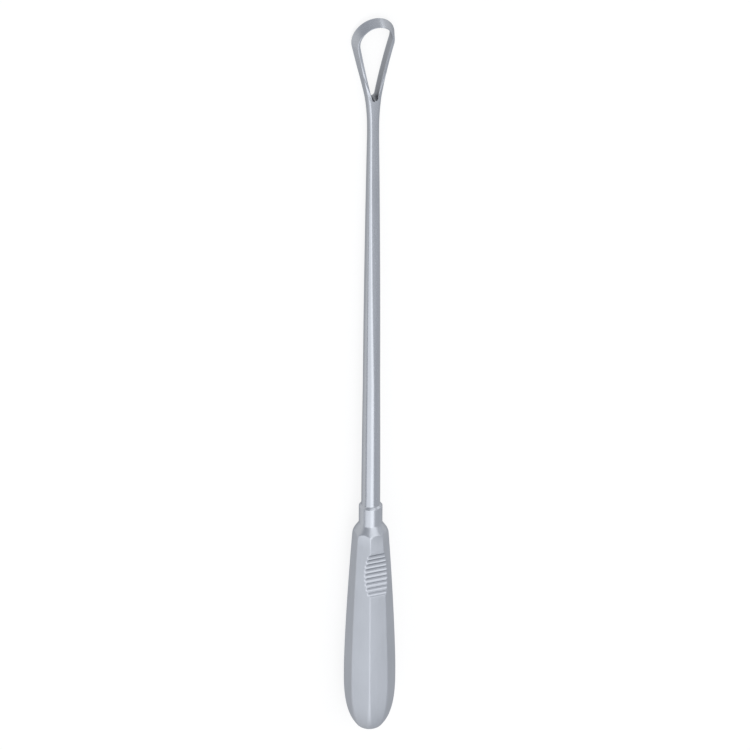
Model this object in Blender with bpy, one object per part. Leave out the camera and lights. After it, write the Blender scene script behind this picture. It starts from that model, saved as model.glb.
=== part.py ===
"""Uterine curette: a forged steel shaft that ends in an open loop, brazed into a hollow octagonal handle.

The tool is modelled along +Y, with the tail of the handle at the origin, the loop at the far end and the
thumb rest facing +Z. It is then laid down as it comes to rest, on the back of its handle and of its loop.
"""

import math

import bmesh
import bpy
from mathutils import Vector

# Handle, in metres
BODY_LENGTH = 0.0836
NECK_LENGTH = 0.0150
TAIL_LENGTH = 0.0215
GRIP_LENGTH = 0.0060
GRIP_RADIUS = 0.01005
SHOULDER_RADIUS = 0.00705
SWELL_POWER = 1.45
RIDGE_ROUND = 0.0006
WALL = 0.0012

# Turned neck of the handle
NECK_RADIUS = 0.00452
FLARE_RADIUS = 0.00680
FLARE_START = 0.0087
FLARE_LENGTH = 0.0036
FLARE_HOLLOW = 0.0015
FLARE_CROWN = 0.0040
CROWN_SLOPE = math.radians(8.0)
MOUTH_RADIUS = 0.00365
MOUTH_CHAMFER = 0.0015
MOUTH_ROUND = 0.0004

# Thumb rest, a dish with cross grooves in the front facet
THUMB_PLACE = 0.0708
THUMB_DEPTH = 0.00135
THUMB_LENGTH = 0.0188
GROOVE_COUNT = 9
GROOVE_PITCH = 0.0020
GROOVE_DEPTH = 0.00045

# Tang, and the socket and hollow behind it
TANG_RADIUS = 0.0025
TANG_LENGTH = 0.0130
TANG_CHAMFER = 0.0004
FIT_CLEARANCE = 0.0003
HOLLOW_STEP = 0.0047

# Shaft
SHANK_RADIUS = 0.00355
SHANK_EDGE = 0.0002
SHAFT_LENGTH = 0.1750
TAPER_START = 0.0060
TAPER_POWER = 1.4
SQUARING_START = 0.0480
FORK_HALF_WIDTH = 0.0019
FORK_HALF_DEPTH = 0.0018
FORK_CORNER = 0.0008
FORK_BLEND = 0.0796

# Loop
LOOP_LENGTH = 0.0362
BACK_RADIUS = 0.00893
EDGE_RADIUS = 0.00758
EDGE_SETBACK = 0.0026
EDGE_LAND = 0.00008
EDGE_FACE = 0.00092
BACK_FACE = 0.00206
BACK_TOP_FACE = 0.0013
TIP_DEPTH = 0.0040
LOOP_CURL = 0.0028
LOOP_DIP = 0.0013
EYE_ROUND = 0.0012
EYE_FRONT_RISE = 0.0006
EYE_BACK_RISE = 0.0018
STRAND_ROUND = 0.00015
ROUND_RUN = 0.0100

# Where the pieces stand along the tool
HANDLE_LENGTH = BODY_LENGTH + NECK_LENGTH
FORK = HANDLE_LENGTH + SHAFT_LENGTH
TIP = FORK + LOOP_LENGTH

# Polished steel of the two pieces
HANDLE_COLOUR = (0.52, 0.53, 0.55)
HANDLE_ROUGHNESS = 0.34
SHAFT_COLOUR = (0.55, 0.56, 0.58)
SHAFT_ROUGHNESS = 0.28

# Fineness of the facets, and the angles past which an edge is sharp
SIDES = 8
FULLEST_ROUND = 0.98
FULLEST_RIDGE_ROUND = 1 / 3
TAIL_STEPS = 10
BODY_STEPS = 14
FILLET_STEPS = 5
TURNED_STEPS = 64
HOLLOW_END_STEPS = 8
HOLLOW_BODY_STEPS = 4
BORE_STEPS = 32
TOOTH_STEPS = 6
CORNER_STEPS = 6
SHAFT_RINGS = 26
BLEND_STEPS = 4
STRAND_STEPS = 8
ARC_STEPS = 16
EYE_WALL_STEPS = 4
HANDLE_SHARP = math.radians(18)
SHAFT_SHARP = math.radians(28)

# How far cutters stand past the handle, and how the rest pose is searched for
CUTTER_REACH = GRIP_RADIUS * 1.5
STEEPEST_REST = math.radians(10)
REST_STEPS = 40


def on_circle(centre_y, radius, angle):
    """Point of a circle centred on the tool's axis, with the angle counted from across the tool."""
    return (radius * math.cos(angle), centre_y + radius * math.sin(angle))


def span(start, end, steps):
    """Values from start to end in equal steps, both ends included."""
    return [start + (end - start) * i / steps for i in range(steps + 1)]


def smooth_step(share):
    """Ease from 0 to 1."""
    share = min(max(share, 0.0), 1.0)
    return share * share * (3.0 - 2.0 * share)


def blend(start, end, share):
    """Value that lies a share of the way from start to end."""
    return start + (end - start) * share


def round_corner(before, corner, after, rounding, steps):
    """Points of a corner that is rounded as far as its two sides allow.

    It is a true arc where the two sides are square to each other.
    """
    setback = min(rounding, FULLEST_ROUND * min((before - corner).length, (after - corner).length))
    entry = corner + (before - corner).normalized() * setback
    leave = corner + (after - corner).normalized() * setback
    pull = math.cos(math.pi / 4)
    points = []
    for t in span(0.0, 1.0, steps):
        weights = ((1 - t) ** 2, 2 * pull * t * (1 - t), t ** 2)
        blended = entry * weights[0] + corner * weights[1] + leave * weights[2]
        points.append(blended / sum(weights))
    return points


def fillet_outline(corners, steps):
    """Outline through (along, radius, rounding) corners, each corner replaced by a tangent arc."""
    points = []
    for i, (along, radius, rounding) in enumerate(corners):
        corner = Vector((along, radius))
        if rounding == 0.0:
            points.append(corner)
            continue
        towards = (Vector(corners[i - 1][:2]) - corner).normalized()
        away = (Vector(corners[i + 1][:2]) - corner).normalized()
        half = towards.angle(away) / 2
        setback = rounding / math.tan(half)
        centre = corner + (towards + away).normalized() * rounding / math.sin(half)
        first = corner + towards * setback - centre
        last = corner + away * setback - centre
        sweep = first.angle(last)
        for t in span(0.0, 1.0, steps):
            arm = first * math.sin((1 - t) * sweep) + last * math.sin(t * sweep)
            points.append(centre + arm / math.sin(sweep))
    return points


def new_object(name, bm, parent):
    """Object made from a bmesh, with its faces pointing outwards."""
    bmesh.ops.recalc_face_normals(bm, faces=bm.faces)
    mesh = bpy.data.meshes.new(name)
    bm.to_mesh(mesh)
    bm.free()
    obj = bpy.data.objects.new(name, mesh)
    bpy.context.scene.collection.objects.link(obj)
    obj.parent = parent
    return obj


def steel(name, colour, roughness):
    """Stainless steel with its own tone and polish."""
    material = bpy.data.materials.new(name)
    material.use_nodes = True
    shader = material.node_tree.nodes["Principled BSDF"]
    shader.inputs["Base Color"].default_value = (*colour, 1.0)
    shader.inputs["Metallic"].default_value = 1.0
    shader.inputs["Roughness"].default_value = roughness
    return material


def finish(obj, material, sharp_angle):
    """Give a piece its material, and shade its round faces smooth up to the sharp edges."""
    obj.data.materials.append(material)
    obj.data.shade_smooth()
    obj.data.set_sharp_from_angle(angle=sharp_angle)


def skin(bm, rings):
    """Faces between rings of vertices that follow one another."""
    for ring, following in zip(rings, rings[1:]):
        for i in range(len(ring)):
            j = (i + 1) % len(ring)
            bm.faces.new((ring[i], ring[j], following[j], following[i]))


def turned(name, outline, steps, parent):
    """Solid turned about the tool's axis from an outline of (along, radius) points that ends on the axis."""
    bm = bmesh.new()
    verts = [bm.verts.new((radius, along, 0.0)) for along, radius in outline]
    edges = [bm.edges.new(pair) for pair in zip(verts, verts[1:])]
    bmesh.ops.spin(
        bm, geom=verts + edges, cent=(0, 0, 0), axis=(0, 1, 0), angle=2 * math.pi, steps=steps, use_merge=True
    )
    bmesh.ops.remove_doubles(bm, verts=bm.verts, dist=0.000001)
    return new_object(name, bm, parent)


def use_cutter(target, cutter, operation):
    """Shape the target with a hidden cutter."""
    cutter.hide_render = True
    cutter.display_type = "WIRE"
    modifier = target.modifiers.new(cutter.name, "BOOLEAN")
    modifier.operation = operation
    modifier.object = cutter
    modifier.solver = "EXACT"


def ridge_radius(along):
    """Distance from the axis to the handle's ridges."""
    if along < TAIL_LENGTH:
        return GRIP_RADIUS * math.sqrt(max(0.0, 1 - (1 - along / TAIL_LENGTH) ** 2))
    swell_start = TAIL_LENGTH + GRIP_LENGTH
    share = max(0.0, along - swell_start) / (BODY_LENGTH - swell_start)
    return GRIP_RADIUS - (GRIP_RADIUS - SHOULDER_RADIUS) * share ** SWELL_POWER


def facet_radius(along):
    """Distance from the axis to the middle of the handle's facets."""
    return ridge_radius(along) * math.cos(math.pi / SIDES)


def octagon(along):
    """Section of the handle with its ridges eased by a small arc."""
    radius = ridge_radius(along)
    half_turn = math.pi / SIDES
    rounding = min(RIDGE_ROUND, radius * FULLEST_RIDGE_ROUND)
    centre = radius - rounding / math.cos(half_turn)
    points = []
    for side in range(SIDES):
        ridge = half_turn + side * 2 * half_turn
        for lean in (-half_turn, 0.0, half_turn):
            x = centre * math.cos(ridge) + rounding * math.cos(ridge + lean)
            z = centre * math.sin(ridge) + rounding * math.sin(ridge + lean)
            points.append((x, along, z))
    return points


def handle_blank(parent):
    """Octagonal body, rounded off at the tail and longer than the finished handle at the mouth."""
    tail = [TAIL_LENGTH * (1 - math.cos(turn)) for turn in span(0.0, math.pi / 2, TAIL_STEPS)[1:]]
    grip_end = TAIL_LENGTH + GRIP_LENGTH
    swell = span(grip_end, HANDLE_LENGTH + MOUTH_CHAMFER, BODY_STEPS)
    bm = bmesh.new()
    rings = [[bm.verts.new(point) for point in octagon(along)] for along in tail + swell]
    skin(bm, rings)
    bm.faces.new(rings[0])
    bm.faces.new(rings[-1])
    return new_object("handle", bm, parent)


def handle_turning(parent):
    """What the lathe leaves of the blank: the neck, its flare to the octagon and the chamfered mouth."""
    flare_end = HANDLE_LENGTH - FLARE_START - FLARE_LENGTH
    crown_run = (CUTTER_REACH - FLARE_RADIUS) / math.tan(CROWN_SLOPE)
    corners = [
        (-CUTTER_REACH, 0.0, 0.0),
        (-CUTTER_REACH, CUTTER_REACH, 0.0),
        (flare_end - crown_run, CUTTER_REACH, 0.0),
        (flare_end, FLARE_RADIUS, FLARE_CROWN),
        (HANDLE_LENGTH - FLARE_START, NECK_RADIUS, FLARE_HOLLOW),
        (HANDLE_LENGTH - MOUTH_CHAMFER, NECK_RADIUS, MOUTH_ROUND),
        (HANDLE_LENGTH, MOUTH_RADIUS, 0.0),
        (HANDLE_LENGTH, 0.0, 0.0),
    ]
    return turned("neck_turning", fillet_outline(corners, FILLET_STEPS), TURNED_STEPS, parent)


def handle_hollow(parent):
    """Hollow of the handle, which passes under the thumb rest and opens through the socket."""
    thumb_floor = facet_radius(THUMB_PLACE) - THUMB_DEPTH - GROOVE_DEPTH
    narrow_radius = thumb_floor - WALL
    narrow_start = THUMB_PLACE - THUMB_LENGTH / 2
    socket_radius = TANG_RADIUS + FIT_CLEARANCE
    socket_end = HANDLE_LENGTH - TANG_LENGTH - FIT_CLEARANCE
    outline = []
    for turn in span(0.0, math.pi / 2, HOLLOW_END_STEPS):
        along = WALL + (TAIL_LENGTH - WALL) * (1 - math.cos(turn))
        outline.append((along, (facet_radius(TAIL_LENGTH) - WALL) * math.sin(turn)))
    for along in span(TAIL_LENGTH + GRIP_LENGTH, narrow_start - HOLLOW_STEP, HOLLOW_BODY_STEPS):
        outline.append((along, facet_radius(along) - WALL))
    outline += [
        (narrow_start, narrow_radius),
        (socket_end - (narrow_radius - socket_radius), narrow_radius),
        (socket_end, socket_radius),
        (HANDLE_LENGTH + WALL, socket_radius),
        (HANDLE_LENGTH + WALL, 0.0),
    ]
    return turned("hollow", outline, BORE_STEPS, parent)


def thumb_cutter(parent):
    """Cutter for the thumb rest: a wide arc across the tool whose rim is toothed for the grooves."""
    arc_radius = (THUMB_LENGTH ** 2 / 4 + THUMB_DEPTH ** 2) / (2 * THUMB_DEPTH)
    half_length = THUMB_LENGTH / 2
    fall = facet_radius(THUMB_PLACE - half_length) - facet_radius(THUMB_PLACE + half_length)
    slope = math.atan(fall / THUMB_LENGTH)
    middle = Vector((0.0, THUMB_PLACE, facet_radius(THUMB_PLACE)))
    normal = Vector((0.0, math.sin(slope), math.cos(slope)))
    forward = Vector((0.0, math.cos(slope), -math.sin(slope)))
    centre = middle + normal * (arc_radius - THUMB_DEPTH)
    points = []
    reach = half_length + 2 * GROOVE_PITCH
    for along in span(-reach, reach, round(2 * reach / GROOVE_PITCH * TOOTH_STEPS)):
        tooth = 0.0
        if abs(along) <= GROOVE_COUNT * GROOVE_PITCH / 2:
            tooth = GROOVE_DEPTH * (0.5 + 0.5 * math.cos(2 * math.pi * along / GROOVE_PITCH))
        angle = along / arc_radius
        points.append(centre + (forward * math.sin(angle) - normal * math.cos(angle)) * (arc_radius + tooth))
    lift = normal * CUTTER_REACH
    points.append(points[-1] + lift)
    points.append(points[0] + lift)
    bm = bmesh.new()
    half_width = Vector((CUTTER_REACH, 0.0, 0.0))
    profile = bm.faces.new([bm.verts.new(point - half_width) for point in points])
    extruded = bmesh.ops.extrude_face_region(bm, geom=[profile])
    moved = [item for item in extruded["geom"] if isinstance(item, bmesh.types.BMVert)]
    bmesh.ops.translate(bm, verts=moved, vec=half_width * 2)
    return new_object("thumb_rest", bm, parent)


def make_handle(parent):
    """Handle: the blank, turned at the neck, hollowed, and dished for the thumb."""
    handle = handle_blank(parent)
    use_cutter(handle, handle_turning(parent), "INTERSECT")
    use_cutter(handle, handle_hollow(parent), "DIFFERENCE")
    use_cutter(handle, thumb_cutter(parent), "DIFFERENCE")
    finish(handle, steel("handle_steel", HANDLE_COLOUR, HANDLE_ROUGHNESS), HANDLE_SHARP)
    return handle


def rounded_half(inner_front, front_corner, back_corner, inner_back, rounding):
    """Left half of a section, from the inner front point round the two outer corners to the inner back."""
    side = (front_corner + back_corner) / 2
    half = [inner_front]
    half += round_corner(inner_front, front_corner, side, rounding, CORNER_STEPS)
    half += round_corner(side, back_corner, inner_back, rounding, CORNER_STEPS)
    half.append(inner_back)
    return half


def shaft_section(front, back, half_depth, rounding):
    """Half ring of the shaft: a rounded rectangle, or a circle where the rounding is full.

    The front and back outlines are each given by a (half width, along) pair.
    """
    return rounded_half(
        Vector((0.0, front[1], half_depth)),
        Vector((-front[0], front[1], half_depth)),
        Vector((-back[0], back[1], -half_depth)),
        Vector((0.0, back[1], -half_depth)),
        rounding,
    )


def mirrored(points):
    """Points on the other side of the tool's middle plane."""
    return [Vector((-point.x, point.y, point.z)) for point in points]


def full_ring(half):
    """Closed ring from its left half, which runs from the front to the back."""
    return half + mirrored(half)[-2:0:-1]


def outer_side(circle_y, circle_r):
    """Right-hand outline from the shaft's side through the fork's blend to the top of a circle.

    The first list holds the blend up to its middle, and the second one the rest of the outline.
    """
    rise = circle_y - FORK
    distance = math.hypot(rise, FORK_HALF_WIDTH)
    lean = math.asin(circle_r / distance) - math.atan(FORK_HALF_WIDTH / rise)
    blend_reach = FORK_BLEND * math.tan(lean / 2)
    curve = []
    for angle in span(0.0, lean, 2 * BLEND_STEPS):
        x = FORK_HALF_WIDTH + FORK_BLEND * (1 - math.cos(angle))
        curve.append((x, FORK - blend_reach + FORK_BLEND * math.sin(angle)))
    touch = on_circle(circle_y, circle_r, -lean)
    line = [(blend(curve[-1][0], touch[0], t), blend(curve[-1][1], touch[1], t))
            for t in span(0.0, 1.0, STRAND_STEPS)]
    arc = [on_circle(circle_y, circle_r, angle) for angle in span(-lean, math.pi / 2, ARC_STEPS)]
    return curve[:BLEND_STEPS + 1], curve[BLEND_STEPS:-1] + line[:-1] + arc


def eye_side(bottom_y, circle_y, circle_r):
    """Right-hand outline of the loop's eye, from its rounded bottom to the top of its circle."""
    round_y = bottom_y + EYE_ROUND
    lean = math.asin((circle_r - EYE_ROUND) / (circle_y - round_y))
    bottom = [on_circle(round_y, EYE_ROUND, angle) for angle in span(-math.pi / 2, -lean, BLEND_STEPS)]
    touch = on_circle(circle_y, circle_r, -lean)
    line = [(blend(bottom[-1][0], touch[0], t), blend(bottom[-1][1], touch[1], t))
            for t in span(0.0, 1.0, STRAND_STEPS)]
    arc = [on_circle(circle_y, circle_r, angle) for angle in span(-lean, math.pi / 2, ARC_STEPS)]
    return bottom[:-1] + line[:-1] + arc


def loop_share(along):
    """Share of the loop's length that lies below a place, from 0 at the fork to 1 at the tip."""
    return min(max((along - FORK) / LOOP_LENGTH, 0.0), 1.0)


def front_level(along):
    """Height of the loop's front face, which dips at the strands and curls forward at the head."""
    share = loop_share(along)
    return FORK_HALF_DEPTH + LOOP_CURL * share - LOOP_DIP * 4 * share * (1 - share)


def back_level(along):
    """Height of the loop's back face, which follows the front at the band's depth."""
    return front_level(along) - blend(2 * FORK_HALF_DEPTH, TIP_DEPTH, loop_share(along))


def strand_sections():
    """Sections of the loop's left half, from the fork to the top.

    Each one runs from the eye's front edge round the outside to the eye's back edge, and then along the
    eye's wall. The band's front face narrows to the cutting edge at the top.
    """
    back_circle = TIP - BACK_RADIUS
    edge_circle = TIP - EDGE_SETBACK - EDGE_RADIUS
    outer_front = outer_side(edge_circle, EDGE_RADIUS)[1]
    outer_back = outer_side(back_circle, BACK_RADIUS)[1]
    eye_front_r = EDGE_RADIUS - EDGE_FACE
    eye_back_r = BACK_RADIUS - BACK_FACE
    eye_front = eye_side(FORK + EYE_FRONT_RISE, TIP - EDGE_SETBACK - EDGE_LAND - eye_front_r, eye_front_r)
    eye_back = eye_side(FORK + EYE_BACK_RISE, TIP - BACK_TOP_FACE - eye_back_r, eye_back_r)
    sections = []
    for a, b, c, d in zip(eye_front, outer_front, outer_back, eye_back):
        inner_front = Vector((-a[0], a[1], front_level(a[1])))
        front_corner = Vector((-b[0], b[1], front_level(b[1])))
        back_corner = Vector((-c[0], c[1], back_level(c[1])))
        inner_back = Vector((-d[0], d[1], back_level(d[1])))
        rounding = blend(FORK_CORNER, STRAND_ROUND, smooth_step((b[1] - FORK) / ROUND_RUN))
        ring = rounded_half(inner_front, front_corner, back_corner, inner_back, rounding)
        ring += [inner_back.lerp(inner_front, t) for t in span(0.0, 1.0, EYE_WALL_STEPS)[1:-1]]
        sections.append(ring)
    return sections


def shaft_rings():
    """Left halves of the shaft's rings, from the end of the tang to just below the fork."""
    seat = HANDLE_LENGTH + FIT_CLEARANCE
    tang_end = HANDLE_LENGTH - TANG_LENGTH
    rings = []
    steps = [
        (tang_end, TANG_RADIUS - TANG_CHAMFER),
        (tang_end + TANG_CHAMFER, TANG_RADIUS),
        (seat, TANG_RADIUS),
        (seat, SHANK_RADIUS - SHANK_EDGE),
    ]
    for along, radius in steps:
        rings.append(shaft_section((radius, along), (radius, along), radius, radius))
    blend_front = outer_side(TIP - EDGE_SETBACK - EDGE_RADIUS, EDGE_RADIUS)[0]
    blend_back = outer_side(TIP - BACK_RADIUS, BACK_RADIUS)[0]
    taper_start = HANDLE_LENGTH + TAPER_START
    squaring_start = HANDLE_LENGTH + SQUARING_START
    shaft_end = min(blend_front[0][1], blend_back[0][1])
    stations = [seat + SHANK_EDGE] + span(taper_start, shaft_end, SHAFT_RINGS)[:-1]
    for along in stations:
        taper = max(0.0, (along - taper_start) / (shaft_end - taper_start)) ** TAPER_POWER
        squaring = max(0.0, (along - squaring_start) / (shaft_end - squaring_start))
        half_width = blend(SHANK_RADIUS, FORK_HALF_WIDTH, taper)
        half_depth = blend(SHANK_RADIUS, FORK_HALF_DEPTH, taper)
        corner = blend(half_width, FORK_CORNER, squaring)
        rings.append(shaft_section((half_width, along), (half_width, along), half_depth, corner))
    for front, back in zip(blend_front[:-1], blend_back[:-1]):
        rings.append(shaft_section(front, back, FORK_HALF_DEPTH, FORK_CORNER))
    return rings


def make_shaft(parent):
    """Shaft and loop: one forging whose last ring splits at the eye into the two strands of the loop."""
    bm = bmesh.new()
    left = strand_sections()
    around = 2 * (CORNER_STEPS + 1) + 2
    fork_half = left[0][:around]
    rings = [[bm.verts.new(point) for point in full_ring(half)] for half in shaft_rings() + [fork_half]]
    skin(bm, rings)
    bm.faces.new(rings[0])

    fork = rings[-1]
    eye_floor = [bm.verts.new(point) for point in left[0][around:]]
    left_start = fork[:around] + eye_floor
    right_end = fork[:1] + fork[:around - 2:-1] + eye_floor
    right = [mirrored(ring) for ring in left[-2:0:-1]]
    band = [[bm.verts.new(point) for point in ring] for ring in left[1:] + right]
    skin(bm, [left_start] + band + [right_end])

    shaft = new_object("shaft_and_loop", bm, parent)
    finish(shaft, steel("shaft_steel", SHAFT_COLOUR, SHAFT_ROUGHNESS), SHAFT_SHARP)
    return shaft


def lowest(points, tilt):
    """Lowest level that points of the side view reach when the loop's end is tilted down."""
    return min(z * math.cos(tilt) - y * math.sin(tilt) for y, z in points)


def lay_down(rest_frame, handle, shaft):
    """Tilt the tool until its handle and its loop touch the same level, and centre it over the origin."""
    handle_side = [(vert.co.y, vert.co.z) for vert in handle.data.vertices]
    loop_side = [(vert.co.y, vert.co.z) for vert in shaft.data.vertices if vert.co.y > FORK]
    low, high = 0.0, STEEPEST_REST
    for _ in range(REST_STEPS):
        tilt = (low + high) / 2
        if lowest(loop_side, tilt) > lowest(handle_side, tilt):
            low = tilt
        else:
            high = tilt
    both = handle_side + loop_side
    reach = [y * math.cos(tilt) + z * math.sin(tilt) for y, z in both]
    rest_frame.rotation_euler = (-tilt, 0.0, 0.0)
    rest_frame.location = (0.0, -(min(reach) + max(reach)) / 2, -lowest(both, tilt))


for old in list(bpy.data.objects):
    bpy.data.objects.remove(old)

rest = bpy.data.objects.new("rest_frame", None)
bpy.context.scene.collection.objects.link(rest)
lay_down(rest, make_handle(rest), make_shaft(rest))
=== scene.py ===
"""Uterine curette as it lies on a pale table: octagonal steel handle and forged shaft with an open loop."""
import math

import bmesh
import bpy
import numpy as np
from mathutils import Matrix, Vector


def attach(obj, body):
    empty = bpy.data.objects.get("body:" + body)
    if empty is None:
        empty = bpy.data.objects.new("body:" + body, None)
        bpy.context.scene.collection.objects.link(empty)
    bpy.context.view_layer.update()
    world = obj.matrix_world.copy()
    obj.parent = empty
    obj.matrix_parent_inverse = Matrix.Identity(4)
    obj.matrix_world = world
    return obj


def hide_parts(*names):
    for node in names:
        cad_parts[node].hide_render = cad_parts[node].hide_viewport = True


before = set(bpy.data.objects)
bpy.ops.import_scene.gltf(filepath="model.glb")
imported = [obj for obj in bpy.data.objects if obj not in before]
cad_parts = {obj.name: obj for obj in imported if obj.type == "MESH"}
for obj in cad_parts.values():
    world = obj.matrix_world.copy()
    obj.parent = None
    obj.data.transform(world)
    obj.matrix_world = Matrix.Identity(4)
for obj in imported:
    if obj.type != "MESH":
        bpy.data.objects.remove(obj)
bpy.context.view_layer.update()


# The handle is one hollow bar of stainless steel, milled to eight facets and rounded off at its tail.
# Its neck is turned on a lathe down to a narrow collar, which leaves each facet with an arched end. A dish
# with nine cross grooves is milled in the front facet for the thumb, and the whole is given a satin polish.
REST_TILT = math.radians(1.5939456)
REST_PLACE = (0.0, -0.1549289, 0.0101029)
BODY_LENGTH = 0.0836
HANDLE_LENGTH = 0.0986
TAIL_START = 0.00024
TAIL_LENGTH = 0.0245
TAIL_FULLNESS = 2.6
TAIL_SOFTNESS = 0.0011
SWELL_START = 0.0268
GRIP_RADIUS = 0.01005
SHOULDER_RADIUS = 0.00725
SWELL_POWER = 1.42
HALF_FACET = math.pi / 8
RIDGE_SOFTNESS = 0.00022
FACET_CROWN = 0.00006
EDGE_SOFTNESS = 0.00022
TURNED_RADIUS_AT_TAIL = 0.0198
CONE_START = 0.0867
CONE_RADIUS = 0.00700
CONE_ROUND = 0.0036
COLLAR_START = 0.0903
COLLAR_RADIUS = 0.00456
COLLAR_ROUND = 0.0018
CHAMFER_START = 0.0977
CHAMFER_ROUND = 0.0001
MOUTH_RADIUS = 0.00373
LIP_RADIUS = 0.0032
SOCKET_RADIUS = 0.0028
SOCKET_DEPTH = 0.0133
THUMB_PLACE = 0.0706
THUMB_DEPTH = 0.00135
THUMB_LENGTH = 0.0188
THUMB_ARC_REACH = 0.75
THUMB_RING_REACH = 0.53
LEAST_FRONT_SINE = 0.3
GROOVE_COUNT = 9
GROOVE_PITCH = 0.0020
GROOVE_DEPTH = 0.00042
FACET_COLUMNS = 32
RIDGE_CROWDING = 1.8
TAIL_RINGS = 40
GRIP_RINGS = 22
GROOVE_RINGS = 14
NECK_RINGS = 84
MOUTH_RINGS = 14
MOUTH_ZONE = 0.0020
FILLET_STEPS = 24


def lay_down(bm):
    """Tilt and move a piece, made along +Y from the tail, to where its solid lies on the table."""
    rest = Matrix.Translation(REST_PLACE) @ Matrix.Rotation(-REST_TILT, 4, "X")
    bmesh.ops.transform(bm, matrix=rest, verts=bm.verts)


def finished_piece(name, bm, material, node):
    """Object of a finished mesh, with its steel and the solid that it stands for."""
    bmesh.ops.recalc_face_normals(bm, faces=bm.faces)
    mesh = bpy.data.meshes.new(name)
    bm.to_mesh(mesh)
    bm.free()
    mesh.materials.append(material)
    mesh.shade_smooth()
    piece = bpy.data.objects.new(name, mesh)
    bpy.context.scene.collection.objects.link(piece)
    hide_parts(node)
    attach(piece, "root")
    return piece


def soft_least(first, second, softness):
    """Smaller of two radii, with the edge where they meet eased."""
    share = max(softness - abs(first - second), 0.0) / softness
    return min(first, second) - share * share * softness / 4


def fillet(corners, steps):
    """Outline of (along, radius) points through corners, each eased by a tangent arc of its own radius."""
    points = []
    for i, (along, radius, rounding) in enumerate(corners):
        corner = Vector((along, radius))
        if rounding == 0.0:
            points.append(corner)
            continue
        towards = (Vector(corners[i - 1][:2]) - corner).normalized()
        away = (Vector(corners[i + 1][:2]) - corner).normalized()
        half = towards.angle(away) / 2
        setback = rounding / math.tan(half)
        centre = corner + (towards + away).normalized() * rounding / math.sin(half)
        first = corner + towards * setback - centre
        last = corner + away * setback - centre
        sweep = first.angle(last)
        for t in np.linspace(0.0, 1.0, steps + 1):
            arm = first * math.sin((1 - t) * sweep) + last * math.sin(t * sweep)
            points.append(centre + arm / math.sin(sweep))
    return points


def ridge_radius(along):
    """Distance from the axis to the ridges between the facets."""
    if along < TAIL_LENGTH:
        left = (TAIL_LENGTH - along) / (TAIL_LENGTH - TAIL_START)
        return GRIP_RADIUS * (1 - min(left, 1.0) ** TAIL_FULLNESS) ** (1 / TAIL_FULLNESS)
    share = max(0.0, along - SWELL_START) / (BODY_LENGTH - SWELL_START)
    return GRIP_RADIUS - (GRIP_RADIUS - SHOULDER_RADIUS) * share ** SWELL_POWER


def facet_radius(along):
    """Distance from the axis to the middle of the facets."""
    return ridge_radius(along) * math.cos(HALF_FACET)


def octagon_radius(along, angle):
    """Distance from the axis to the eight-sided bar, with slightly crowned facets and eased ridges."""
    radius = facet_radius(along)
    size = radius / (GRIP_RADIUS * math.cos(HALF_FACET))
    off_middle = abs((angle + HALF_FACET) % (2 * HALF_FACET) - HALF_FACET)
    reaches = []
    for lean in (off_middle, 2 * HALF_FACET - off_middle):
        crown = FACET_CROWN * size * (lean / HALF_FACET) ** 2
        reaches.append((radius - crown) / math.cos(lean))
    tail_share = max(1 - along / TAIL_LENGTH, 0.0)
    return soft_least(*reaches, RIDGE_SOFTNESS * size + TAIL_SOFTNESS * tail_share ** 2)


def thumb_floor():
    """Outline of the thumb rest seen from the side: a shallow arc of hollow grooves, as (along, level)."""
    arc_radius = (THUMB_LENGTH ** 2 / 4 + THUMB_DEPTH ** 2) / (2 * THUMB_DEPTH)
    fall = facet_radius(THUMB_PLACE - THUMB_LENGTH / 2) - facet_radius(THUMB_PLACE + THUMB_LENGTH / 2)
    slope = math.atan(fall / THUMB_LENGTH)
    normal = Vector((math.sin(slope), math.cos(slope)))
    forward = Vector((math.cos(slope), -math.sin(slope)))
    centre = Vector((THUMB_PLACE, facet_radius(THUMB_PLACE))) + normal * (arc_radius - THUMB_DEPTH)
    step = GROOVE_PITCH / GROOVE_RINGS
    reach = math.ceil(THUMB_LENGTH * THUMB_ARC_REACH / step)
    points = []
    for along in np.linspace(-reach * step, reach * step, 2 * reach + 1):
        groove = 0.0
        if abs(along) < GROOVE_COUNT * GROOVE_PITCH / 2:
            off_middle = (along / GROOVE_PITCH + 0.5) % 1.0 - 0.5
            groove = GROOVE_DEPTH * (1 - 4 * off_middle * off_middle)
        turn = along / arc_radius
        points.append(centre + (forward * math.sin(turn) - normal * math.cos(turn)) * (arc_radius + groove))
    return np.array(points)


# The turned outline stays clear of the bar until it cuts off the ridges just before the cone.
turned_outline = np.array(fillet([
    (0.0, TURNED_RADIUS_AT_TAIL, 0.0),
    (CONE_START, CONE_RADIUS, CONE_ROUND),
    (COLLAR_START, COLLAR_RADIUS, COLLAR_ROUND),
    (CHAMFER_START, COLLAR_RADIUS, CHAMFER_ROUND),
    (HANDLE_LENGTH, MOUTH_RADIUS, 0.0),
], FILLET_STEPS))
thumb_outline = thumb_floor()


def handle_radius(along, angle):
    """Distance from the axis to the finished handle."""
    radius = octagon_radius(along, angle)
    turned = float(np.interp(along, turned_outline[:, 0], turned_outline[:, 1]))
    radius = soft_least(radius, turned, EDGE_SOFTNESS)
    if math.sin(angle) > LEAST_FRONT_SINE and thumb_outline[0, 0] < along < thumb_outline[-1, 0]:
        floor = float(np.interp(along, thumb_outline[:, 0], thumb_outline[:, 1]))
        radius = soft_least(radius, floor / math.sin(angle), EDGE_SOFTNESS)
    return radius


def edges_among(edges, verts):
    """Those edges that have both ends among the vertices."""
    mark = set(verts)
    return [edge for edge in edges if edge.verts[0] in mark and edge.verts[1] in mark]


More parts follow.
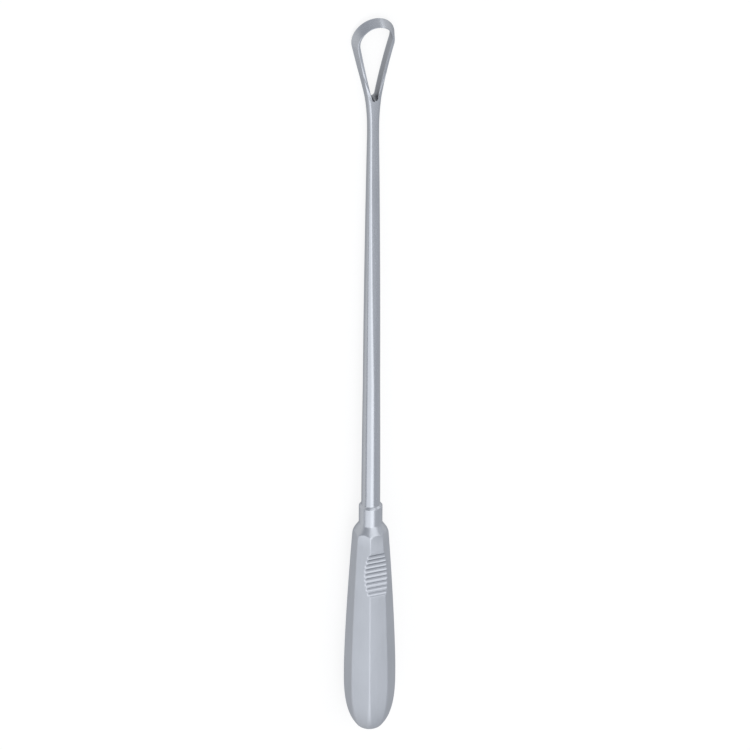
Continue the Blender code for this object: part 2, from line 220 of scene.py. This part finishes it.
def next_ring(bm, rim):
    """Extrude an open rim, and return the new rim's vertices and edges."""
    grown = bmesh.ops.extrude_edge_only(bm, edges=rim)["geom"]
    verts = [item for item in grown if isinstance(item, bmesh.types.BMVert)]
    edges = [item for item in grown if isinstance(item, bmesh.types.BMEdge)]
    return verts, edges_among(edges, verts)


def off_axis(reach, along, angle):
    """Point of the handle at a distance from its axis."""
    return (reach * math.cos(angle), along, reach * math.sin(angle))


def crowded(turn):
    """Direction of a column that stood at an even turn, moved towards the nearest ridge."""
    facet = math.floor(turn / (2 * HALF_FACET) + 0.5) * 2 * HALF_FACET
    off_middle = (turn - facet) / HALF_FACET
    eased = 1 - (1 - min(abs(off_middle), 1.0)) ** RIDGE_CROWDING
    return facet + math.copysign(eased, off_middle) * HALF_FACET


def handle_mesh():
    """Handle, grown ring by ring from the pole of its tail to the mouth and down the socket."""
    bm = bmesh.new()
    thumb_cut = bm.verts.layers.float.new("thumb_cut")
    thumb_start = THUMB_PLACE - THUMB_LENGTH * THUMB_RING_REACH
    thumb_end = THUMB_PLACE + THUMB_LENGTH * THUMB_RING_REACH
    mouth_start = HANDLE_LENGTH - MOUTH_ZONE
    tail = [TAIL_START + (TAIL_LENGTH - TAIL_START) * (1 - math.cos(turn))
            for turn in np.linspace(0.0, math.pi / 2, TAIL_RINGS)[1:]]
    grip = list(np.linspace(TAIL_LENGTH, thumb_start, GRIP_RINGS)[1:])
    thumb = [along for along in thumb_outline[:, 0] if thumb_start < along < thumb_end]
    neck = list(np.linspace(thumb_end, mouth_start, NECK_RINGS)[1:])
    mouth = list(np.linspace(mouth_start, HANDLE_LENGTH, MOUTH_RINGS)[1:])
    bmesh.ops.create_circle(bm, cap_ends=True, cap_tris=True, segments=8 * FACET_COLUMNS, radius=1.0)
    pole = min(bm.verts, key=lambda vert: vert.co.length)
    pole.co = (0.0, TAIL_START, 0.0)
    verts = [vert for vert in bm.verts if vert is not pole]
    for vert in verts:
        angle = crowded(math.atan2(vert.co.y, vert.co.x))
        vert.co = off_axis(handle_radius(tail[0], angle), tail[0], angle)
    rim = edges_among(bm.edges, verts)
    for along in tail[1:] + grip + thumb + neck + mouth:
        verts, rim = next_ring(bm, rim)
        for vert in verts:
            angle = math.atan2(vert.co.z, vert.co.x)
            reach = handle_radius(along, angle)
            vert.co = off_axis(reach, along, angle)
            depth = octagon_radius(along, angle) - reach
            vert[thumb_cut] = min(depth / EDGE_SOFTNESS, 1.0) if thumb_start < along < thumb_end else 0.0
    for along, reach in ((HANDLE_LENGTH, LIP_RADIUS), (HANDLE_LENGTH, SOCKET_RADIUS),
                         (HANDLE_LENGTH - SOCKET_DEPTH, SOCKET_RADIUS)):
        verts, rim = next_ring(bm, rim)
        for vert in verts:
            vert.co = off_axis(reach, along, math.atan2(vert.co.z, vert.co.x))
    bmesh.ops.contextual_create(bm, geom=rim)
    lay_down(bm)
    return bm


STEEL_SHADE = (0.412, 0.430, 0.462)
HANDLE_TONE = 1.04
GRAZING_TINT = (0.52, 0.53, 0.55)
TONE_SPREAD = 0.05
STREAKS_PER_METRE = (1100.0, 14.0, 1100.0)
CLOUDS_PER_METRE = (170.0, 70.0, 170.0)
SCUFFS_PER_METRE = (2600.0, 160.0, 2600.0)
SCUFF_TURN = 0.7
GRAIN_DETAIL = 3.0
STREAK_DETAIL = 2.0
CLOUD_DETAIL = 4.0
SCUFF_DETAIL = 1.0
GRAIN_RANGE = (0.25, 0.75)
STREAK_RANGE = (0.25, 0.75)
CLOUD_RANGE = (0.3, 0.7)
SCUFF_RANGE = (0.66, 0.74)
HALF_TONE = (0.0, 0.5)
HALF_ROUGHNESS = (0.44, 0.56)
SCUFF_ROUGHNESS = (0.0, 0.05)


def opaque(shade, factor=1.0):
    """Colour of a shade, made darker or lighter by a factor."""
    return (*[part * factor for part in shade], 1.0)


def feed(tree, socket, value):
    """Give a node's input a value of its own or the output of another node."""
    if isinstance(value, bpy.types.NodeSocket):
        tree.links.new(value, socket)
    else:
        socket.default_value = value


def noise(tree, where, scale, detail, turn=0.0):
    """Noise that is stretched by its own scale along each axis of the tool."""
    place = tree.nodes.new("ShaderNodeMapping")
    place.inputs["Rotation"].default_value = (REST_TILT, 0.0, turn)
    place.inputs["Scale"].default_value = scale
    feed(tree, place.inputs["Vector"], where)
    texture = tree.nodes.new("ShaderNodeTexNoise")
    texture.inputs["Scale"].default_value = 1.0
    texture.inputs["Detail"].default_value = detail
    feed(tree, texture.inputs["Vector"], place.outputs["Vector"])
    return texture.outputs["Fac"]


def spread(tree, value, known, wanted):
    """Value taken from one range to another."""
    node = tree.nodes.new("ShaderNodeMapRange")
    node.inputs["From Min"].default_value, node.inputs["From Max"].default_value = known
    node.inputs["To Min"].default_value, node.inputs["To Max"].default_value = wanted
    feed(tree, node.inputs["Value"], value)
    return node.outputs["Result"]


def combined(tree, operation, first, second):
    """Sum or product of two values."""
    node = tree.nodes.new("ShaderNodeMath")
    node.operation = operation
    feed(tree, node.inputs[0], first)
    feed(tree, node.inputs[1], second)
    return node.outputs["Value"]


def mixed(tree, kind, share, first, second):
    """Number (kind FLOAT) or colour (kind RGBA) that lies a share of the way from the first to the second."""
    node = tree.nodes.new("ShaderNodeMix")
    node.data_type = kind
    feed(tree, node.inputs["Factor"], share)
    feed(tree, node.inputs["A"], first)
    feed(tree, node.inputs["B"], second)
    return node.outputs["Result"]


def polished_steel(name, shade, satin, bright, bright_from, bright_to, grain, grain_stretch, relief,
                   cut_places, cut_painted_shade, cut_roughness):
    """Stainless steel with a polishing grain along the tool, faint clouds and streaks, and light scuffs.

    Its roughness is satin up to bright_from along the table, and goes over to bright at bright_to. The grain
    is given in lines per metre across the tool, and its relief in metres. Where the attribute that is named
    by cut_places is 1, the steel has a roughness of its own, and its colour is scaled by cut_painted_shade,
    which paints shade into it where it is below 1.
    """
    material = bpy.data.materials.new(name)
    material.use_nodes = True
    tree = material.node_tree
    shader = tree.nodes["Principled BSDF"]
    shader.inputs["Metallic"].default_value = 1.0
    shader.inputs["Specular Tint"].default_value = opaque(GRAZING_TINT)
    where = tree.nodes.new("ShaderNodeTexCoord").outputs["Object"]
    lines = noise(tree, where, (grain, grain / grain_stretch, grain), GRAIN_DETAIL)
    streaks = noise(tree, where, STREAKS_PER_METRE, STREAK_DETAIL)
    clouds = noise(tree, where, CLOUDS_PER_METRE, CLOUD_DETAIL)
    scuffs = noise(tree, where, SCUFFS_PER_METRE, SCUFF_DETAIL, SCUFF_TURN)
    cut_mark = tree.nodes.new("ShaderNodeAttribute")
    cut_mark.attribute_name = cut_places
    cut = cut_mark.outputs["Fac"]

    tone = combined(tree, "ADD", spread(tree, clouds, CLOUD_RANGE, HALF_TONE),
                    spread(tree, streaks, STREAK_RANGE, HALF_TONE))
    polished = mixed(tree, "RGBA", tone, opaque(shade, 1 - TONE_SPREAD), opaque(shade, 1 + TONE_SPREAD))
    # Where cut is 1 the colour is scaled by cut_painted_shade; below 1 this is painted shade, not the steel's
    # own tone.
    feed(tree, shader.inputs["Base Color"], mixed(tree, "RGBA", cut, polished, opaque(shade, cut_painted_shade)))

    axes = tree.nodes.new("ShaderNodeSeparateXYZ")
    feed(tree, axes.inputs["Vector"], where)
    polish = spread(tree, axes.outputs["Y"], (bright_from, bright_to), (satin, bright))
    finish = mixed(tree, "FLOAT", cut, polish, cut_roughness)
    variation = combined(tree, "ADD", spread(tree, lines, GRAIN_RANGE, HALF_ROUGHNESS),
                         spread(tree, streaks, STREAK_RANGE, HALF_ROUGHNESS))
    roughness = combined(tree, "ADD", combined(tree, "MULTIPLY", finish, variation),
                         spread(tree, scuffs, SCUFF_RANGE, SCUFF_ROUGHNESS))
    feed(tree, shader.inputs["Roughness"], roughness)

    bump = tree.nodes.new("ShaderNodeBump")
    bump.inputs["Distance"].default_value = relief
    feed(tree, bump.inputs["Height"], lines)
    feed(tree, shader.inputs["Normal"], bump.outputs["Normal"])
    return material


handle_steel = polished_steel(
    "handle_satin_steel", [part * HANDLE_TONE for part in STEEL_SHADE],
    satin=0.48, bright=0.31, bright_from=-0.0725, bright_to=-0.0680,
    grain=4200.0, grain_stretch=22.0, relief=0.0000015,
    cut_places="thumb_cut", cut_painted_shade=1.0, cut_roughness=0.30,
)
finished_piece("octagonal_handle", handle_mesh(), handle_steel, "handle")


# The shaft and its loop are one forging of stainless steel. A round bar tapers away from the handle, turns
# square towards the fork, and splits there into the two strands of an open loop whose top is ground to a
# cutting edge. Its tang is brazed into the handle's socket, and it has a finer polish than the handle.
SHANK_RADIUS = 0.00361
SEAT_GAP = 0.00001
SHAFT_SEAT = HANDLE_LENGTH + SEAT_GAP
BRAZE_FILLET = (
    (0.0, 0.00372),
    (0.00015, 0.00368),
    (0.00035, 0.00365),
    (0.0006, 0.00363),
    (0.0009, 0.003615),
)
TANG_RADIUS = 0.0025
TANG_LENGTH = 0.0130
TAPER_START = HANDLE_LENGTH + 0.0060
TAPER_POWER = 1.4
SQUARING_START = HANDLE_LENGTH + 0.0480
FORK = HANDLE_LENGTH + 0.1750
FORK_HALF_WIDTH = 0.00205
FORK_HALF_DEPTH = 0.0018
FORK_CORNER = 0.00095
FORK_BLEND = 0.100
LOOP_LENGTH = 0.0362
TIP = FORK + LOOP_LENGTH
BACK_RADIUS = 0.00893
EDGE_RADIUS = 0.00758
EDGE_SETBACK = 0.0026
EDGE_LAND = 0.00008
EDGE_FACE = 0.00092
BACK_FACE = 0.00206
BACK_TOP_FACE = 0.0013
TIP_DEPTH = 0.0040
LOOP_CURL = 0.0028
LOOP_DIP = 0.0013
EYE_ROUND = 0.0012
EYE_FRONT_RISE = 0.0006
EYE_BACK_RISE = 0.0018
# Weight of the eye walls' rougher finish and painted shade, at the fork and at the tip.
EYE_FINISH_AND_SHADE_AT_FORK = 1.0
EYE_FINISH_AND_SHADE_AT_TIP = 0.35
STRAND_ROUND = 0.00022
ROUND_RUN = 0.0100
LONGEST_SETBACK = 0.98
SHARP_EDGE = math.radians(32)
CORNER_STEPS = 10
BLEND_STEPS = 12
STRAND_STEPS = 40
ARC_STEPS = 72
WALL_STEPS = 6
SHAFT_RINGS = 80


def blend(start, end, share):
    """Value that lies a share of the way from start to end."""
    return start + (end - start) * share


def smooth_step(share):
    """Ease from 0 to 1."""
    share = min(max(share, 0.0), 1.0)
    return share * share * (3.0 - 2.0 * share)


def eased_corner(before, corner, after, rounding):
    """Points of a corner that is rounded as far as its two sides allow."""
    setback = min(rounding, LONGEST_SETBACK * min((before - corner).length, (after - corner).length))
    entry = corner + (before - corner).normalized() * setback
    leave = corner + (after - corner).normalized() * setback
    pull = math.cos(math.pi / 4)
    points = []
    for t in np.linspace(0.0, 1.0, CORNER_STEPS + 1):
        weights = ((1 - t) ** 2, 2 * pull * t * (1 - t), t ** 2)
        points.append((entry * weights[0] + corner * weights[1] + leave * weights[2]) / sum(weights))
    return points


def outer_half(inner_front, front_corner, back_corner, inner_back, rounding):
    """Left half of a section, from the inner front point round the two outer corners to the inner back."""
    side = (front_corner + back_corner) / 2
    half = [inner_front]
    half += eased_corner(inner_front, front_corner, side, rounding)
    half += eased_corner(side, back_corner, inner_back, rounding)
    half.append(inner_back)
    return half


def shaft_half(front, back, half_depth, rounding):
    """Left half of the shaft's section, whose front and back are each a (half width, along) pair."""
    return outer_half(
        Vector((0.0, front[1], half_depth)),
        Vector((-front[0], front[1], half_depth)),
        Vector((-back[0], back[1], -half_depth)),
        Vector((0.0, back[1], -half_depth)),
        rounding,
    )


def other_side(points):
    """Points mirrored in the tool's middle plane."""
    return [Vector((-point.x, point.y, point.z)) for point in points]


def on_circle(centre_y, radius, angle):
    """Point of a circle on the axis, with the angle counted from across the tool."""
    return (radius * math.cos(angle), centre_y + radius * math.sin(angle))


def strand_and_arc(start, circle_y, circle_r, lean):
    """Straight run from a start to where it touches a circle, and on along the circle to its top."""
    touch = on_circle(circle_y, circle_r, -lean)
    line = [(blend(start[0], touch[0], t), blend(start[1], touch[1], t))
            for t in np.linspace(0.0, 1.0, STRAND_STEPS + 1)]
    arc = [on_circle(circle_y, circle_r, angle) for angle in np.linspace(-lean, math.pi / 2, ARC_STEPS + 1)]
    return line[:-1] + arc


def outer_side(circle_y, circle_r):
    """Outline from the shaft's side through the fork's blend to the loop's top, in two lists."""
    rise = circle_y - FORK
    lean = math.asin(circle_r / math.hypot(rise, FORK_HALF_WIDTH)) - math.atan(FORK_HALF_WIDTH / rise)
    blend_reach = FORK_BLEND * math.tan(lean / 2)
    curve = []
    for angle in np.linspace(0.0, lean, 2 * BLEND_STEPS + 1):
        x = FORK_HALF_WIDTH + FORK_BLEND * (1 - math.cos(angle))
        curve.append((x, FORK - blend_reach + FORK_BLEND * math.sin(angle)))
    strand = strand_and_arc(curve[-1], circle_y, circle_r, lean)
    return curve[:BLEND_STEPS + 1], curve[BLEND_STEPS:-1] + strand


def eye_side(bottom_y, circle_y, circle_r):
    """Outline of the loop's eye, from its rounded bottom to the top of its circle."""
    round_y = bottom_y + EYE_ROUND
    lean = math.asin((circle_r - EYE_ROUND) / (circle_y - round_y))
    bottom = [on_circle(round_y, EYE_ROUND, angle)
              for angle in np.linspace(-math.pi / 2, -lean, BLEND_STEPS + 1)]
    return bottom[:-1] + strand_and_arc(bottom[-1], circle_y, circle_r, lean)


def loop_share(along):
    """Share of the loop's length that lies below a place, from 0 at the fork to 1 at the tip."""
    return min(max((along - FORK) / LOOP_LENGTH, 0.0), 1.0)


def front_level(along):
    """Height of the loop's front, which dips at the strands and curls forward at the head."""
    share = loop_share(along)
    return FORK_HALF_DEPTH + LOOP_CURL * share - LOOP_DIP * 4 * share * (1 - share)


def back_level(along):
    """Height of the loop's back, which follows the front at the band's depth."""
    return front_level(along) - blend(2 * FORK_HALF_DEPTH, TIP_DEPTH, loop_share(along))


def strand_sections():
    """Sections of the loop's left half, from the fork to the top, each one a closed ring of points."""
    back_circle = TIP - BACK_RADIUS
    edge_circle = TIP - EDGE_SETBACK - EDGE_RADIUS
    outer_front = outer_side(edge_circle, EDGE_RADIUS)[1]
    outer_back = outer_side(back_circle, BACK_RADIUS)[1]
    eye_front_r = EDGE_RADIUS - EDGE_FACE
    eye_back_r = BACK_RADIUS - BACK_FACE
    eye_front = eye_side(FORK + EYE_FRONT_RISE, TIP - EDGE_SETBACK - EDGE_LAND - eye_front_r, eye_front_r)
    eye_back = eye_side(FORK + EYE_BACK_RISE, TIP - BACK_TOP_FACE - eye_back_r, eye_back_r)
    sections = []
    for a, b, c, d in zip(eye_front, outer_front, outer_back, eye_back):
        inner_front = Vector((-a[0], a[1], front_level(a[1])))
        front_corner = Vector((-b[0], b[1], front_level(b[1])))
        back_corner = Vector((-c[0], c[1], back_level(c[1])))
        inner_back = Vector((-d[0], d[1], back_level(d[1])))
        rounding = blend(FORK_CORNER, STRAND_ROUND, smooth_step((b[1] - FORK) / ROUND_RUN))
        ring = outer_half(inner_front, front_corner, back_corner, inner_back, rounding)
        ring += [inner_back.lerp(inner_front, t) for t in np.linspace(0.0, 1.0, WALL_STEPS + 1)[1:-1]]
        sections.append(ring)
    return sections


def shaft_halves():
    """Left halves of the shaft's sections, from the end of the tang to just below the fork."""
    tang_end = HANDLE_LENGTH - TANG_LENGTH
    halves = []
    foot = [(SHAFT_SEAT + rise, radius) for rise, radius in BRAZE_FILLET]
    for along, radius in [(tang_end, TANG_RADIUS), (SHAFT_SEAT, TANG_RADIUS)] + foot:
        halves.append(shaft_half((radius, along), (radius, along), radius, radius))
    blend_front = outer_side(TIP - EDGE_SETBACK - EDGE_RADIUS, EDGE_RADIUS)[0]
    blend_back = outer_side(TIP - BACK_RADIUS, BACK_RADIUS)[0]
    shaft_end = min(blend_front[0][1], blend_back[0][1])
    for along in np.linspace(TAPER_START, shaft_end, SHAFT_RINGS + 1)[:-1]:
        taper = ((along - TAPER_START) / (shaft_end - TAPER_START)) ** TAPER_POWER
        squaring = max(0.0, (along - SQUARING_START) / (shaft_end - SQUARING_START))
        half_width = blend(SHANK_RADIUS, FORK_HALF_WIDTH, taper)
        half_depth = blend(SHANK_RADIUS, FORK_HALF_DEPTH, taper)
        corner = blend(half_width, FORK_CORNER, squaring)
        halves.append(shaft_half((half_width, along), (half_width, along), half_depth, corner))
    for front, back in zip(blend_front[:-1], blend_back[:-1]):
        halves.append(shaft_half(front, back, FORK_HALF_DEPTH, FORK_CORNER))
    return halves


def grow(bm, rim, place, sections):
    """Extrude a rim through sections, whose points the vertices take by their place round the section.

    The new vertices are returned in the order of the sections, with the last rim.
    """
    grown = []
    for section in sections:
        ring, rim = next_ring(bm, rim)
        for vert in ring:
            vert.co = section[vert[place]]
        grown += sorted(ring, key=lambda vert: vert[place])
    return grown, rim


def shaft_mesh():
    """Shaft and loop, grown from the tang's end to the fork and from there round the loop and back."""
    bm = bmesh.new()
    eye_wall = bm.verts.layers.float.new("eye_wall")
    place = bm.verts.layers.int.new("place")
    left = strand_sections()
    right = [other_side(ring) for ring in left[-2:0:-1]]
    half_count = 2 * (CORNER_STEPS + 1) + 2
    halves = shaft_halves() + [left[0][:half_count]]
    sections = [half + other_side(half)[-2:0:-1] for half in halves]

    bmesh.ops.create_circle(bm, cap_ends=True, segments=len(sections[0]), radius=1.0)
    start = sorted(bm.verts, key=lambda vert: math.atan2(vert.co.x, vert.co.y))
    for i, vert in enumerate(start):
        vert[place] = i
        vert.co = sections[0][i]
    fork = grow(bm, bm.edges[:], place, sections[1:])[0][-len(start):]

    # The eye's floor is a line across the fork. The loop starts from the fork's left half and that line, and
    # ends on the fork's right half and the same line.
    end = fork[0]
    floor = []
    for i in reversed(range(half_count, len(left[0]))):
        end = bmesh.ops.extrude_vert_indiv(bm, verts=[end])["verts"][0]
        end[place] = i
        end.co = left[0][i]
        floor.insert(0, end)
    bmesh.ops.contextual_create(bm, geom=[end, fork[half_count - 1]])
    left_end = fork[:half_count] + floor
    right_end = fork[:1] + fork[:half_count - 2:-1] + floor
    loop, last_rim = grow(bm, edges_among(bm.edges, left_end), place, left[1:] + right)
    closing = next_ring(bm, last_rim)[0]
    bmesh.ops.weld_verts(bm, targetmap={vert: right_end[vert[place]] for vert in closing})

    # The eye's inner walls and floor are marked for a rougher finish and painted shade, strongest at the fork
    # and fading towards the tip.
    for vert in floor + loop:
        if vert[place] >= half_count:
            share = (vert.co.y - FORK) / LOOP_LENGTH
            vert[eye_wall] = blend(EYE_FINISH_AND_SHADE_AT_FORK, EYE_FINISH_AND_SHADE_AT_TIP, share)
    bm.verts.layers.int.remove(place)
    lay_down(bm)
    return bm


# The loop's eye walls are rougher, and their colour is darkened to 0.64 as painted shade.
shaft_steel = polished_steel(
    "shaft_satin_steel", STEEL_SHADE,
    satin=0.24, bright=0.27, bright_from=0.1, bright_to=0.12,
    grain=5200.0, grain_stretch=26.0, relief=0.000001,
    cut_places="eye_wall", cut_painted_shade=0.64, cut_roughness=0.42,
)
shaft = finished_piece("shaft_and_loop_forging", shaft_mesh(), shaft_steel, "shaft_and_loop")
shaft.data.set_sharp_from_angle(angle=SHARP_EDGE)


# The table is a plain white board that the instrument lies on. The camera looks down on it from the loop's
# end and a little from the left. A large soft lamp hangs to the left and a narrower one overhead, a third
# lights the loop's end and a low one the right side, and the room is a little darker on the left.
VIEW_TURN = math.radians(22.5)
VIEW_RISE = math.radians(28.5)
VIEW_ROLL = math.atan(0.0066)
VIEW_WIDTH = 0.2878
VIEW_DISTANCE = 12.0
AIM_ALONG = 0.15464
AIM_ASIDE = 0.00134
TABLE_REACH = 20.0
TABLE_WHITE = (0.86, 0.86, 0.86)
TABLE_ROUGHNESS = 0.9
TABLE_SHINE = 0.2
TABLE_GLOW = 0.80
LAMP_DISTANCE = 2.5
ROOM_LEFT = (0.59, 0.61, 0.65)
ROOM_RIGHT = (0.80, 0.815, 0.85)

to_rest = Matrix.Rotation(-REST_TILT, 3, "X")
backward = to_rest @ Vector((-math.sin(VIEW_TURN) * math.cos(VIEW_RISE), math.sin(VIEW_RISE),
                             math.cos(VIEW_TURN) * math.cos(VIEW_RISE)))
upward = to_rest @ Vector((math.sin(VIEW_TURN) * math.sin(VIEW_RISE), math.cos(VIEW_RISE),
                           -math.cos(VIEW_TURN) * math.sin(VIEW_RISE)))
rightward = to_rest @ Vector((math.cos(VIEW_TURN), 0.0, math.sin(VIEW_TURN)))
camera_right = rightward * math.cos(VIEW_ROLL) + upward * math.sin(VIEW_ROLL)
camera_up = upward * math.cos(VIEW_ROLL) - rightward * math.sin(VIEW_ROLL)
aim = Vector(REST_PLACE) + to_rest @ Vector((0.0, AIM_ALONG, 0.0)) + camera_right * AIM_ASIDE
camera = bpy.data.objects.new("camera", bpy.data.cameras.new("camera"))
camera.matrix_world = Matrix.Translation(aim + backward * VIEW_DISTANCE) @ Matrix(
    (camera_right, camera_up, backward)).transposed().to_4x4()
camera.data.lens = camera.data.sensor_width * VIEW_DISTANCE / VIEW_WIDTH
bpy.context.scene.collection.objects.link(camera)
bpy.context.scene.camera = camera


def pale_board():
    """Matt white paint that glows for the camera and in reflections, so that it is nearly white there."""
    material = bpy.data.materials.new("pale_board")
    material.use_nodes = True
    tree = material.node_tree
    paint = tree.nodes["Principled BSDF"]
    paint.inputs["Base Color"].default_value = opaque(TABLE_WHITE)
    paint.inputs["Roughness"].default_value = TABLE_ROUGHNESS
    paint.inputs["Specular IOR Level"].default_value = TABLE_SHINE
    path = tree.nodes.new("ShaderNodeLightPath")
    seen = path.outputs["Is Camera Ray"]
    for kind in ("Is Glossy Ray", "Is Transmission Ray"):
        seen = combined(tree, "ADD", seen, path.outputs[kind])
    share = combined(tree, "MULTIPLY", seen, TABLE_GLOW)
    share.node.use_clamp = True
    glow = tree.nodes.new("ShaderNodeEmission")
    glow.inputs["Strength"].default_value = 1.0
    surface = tree.nodes.new("ShaderNodeMixShader")
    feed(tree, surface.inputs["Fac"], share)
    feed(tree, surface.inputs[1], paint.outputs["BSDF"])
    feed(tree, surface.inputs[2], glow.outputs["Emission"])
    feed(tree, tree.nodes["Material Output"].inputs["Surface"], surface.outputs["Shader"])
    return material


board_mesh = bmesh.new()
bmesh.ops.create_grid(board_mesh, x_segments=1, y_segments=1, size=TABLE_REACH)
board_data = bpy.data.meshes.new("table")
board_mesh.to_mesh(board_data)
board_mesh.free()
board_data.materials.append(pale_board())
board = bpy.data.objects.new("table", board_data)
bpy.context.scene.collection.objects.link(board)


def soft_lamp(name, lean, along, width, length, level):
    """Flat lamp that looks at the line under the tool, from a lean that is counted from overhead to the left.

    It is as bright as a room whose background has its level as its strength.
    """
    lamp = bpy.data.lights.new(name, "AREA")
    lamp.shape = "RECTANGLE"
    lamp.size = width
    lamp.size_y = length
    lamp.energy = level * math.pi * width * length
    panel = bpy.data.objects.new(name, lamp)
    panel.matrix_world = Matrix.Rotation(-lean, 4, "Y") @ Matrix.Translation((0.0, along, LAMP_DISTANCE))
    panel.visible_camera = False
    bpy.context.scene.collection.objects.link(panel)


soft_lamp("soft_lamp", lean=math.radians(31.5), along=-2.8, width=4.66, length=6.4, level=0.86)
soft_lamp("soft_lamp_core", lean=math.radians(3.5), along=-2.8, width=1.47, length=6.4, level=0.48)
soft_lamp("far_lamp", lean=math.radians(-4.0), along=2.4, width=3.2, length=4.2, level=0.92)
soft_lamp("low_lamp", lean=math.radians(-75.0), along=2.1, width=1.2, length=1.4, level=1.1)

room = bpy.data.worlds.new("room")
room.use_nodes = True
room_tree = room.node_tree
room_axes = room_tree.nodes.new("ShaderNodeSeparateXYZ")
feed(room_tree, room_axes.inputs["Vector"], room_tree.nodes.new("ShaderNodeTexCoord").outputs["Generated"])
room_side = spread(room_tree, room_axes.outputs["X"], (-1.0, 1.0), (0.0, 1.0))
room_walls = mixed(room_tree, "RGBA", room_side, opaque(ROOM_LEFT), opaque(ROOM_RIGHT))
feed(room_tree, room_tree.nodes["Background"].inputs["Color"], room_walls)
room_tree.nodes["Background"].inputs["Strength"].default_value = 1.0
bpy.context.scene.world = room
bpy.context.scene.view_settings.view_transform = "Standard"
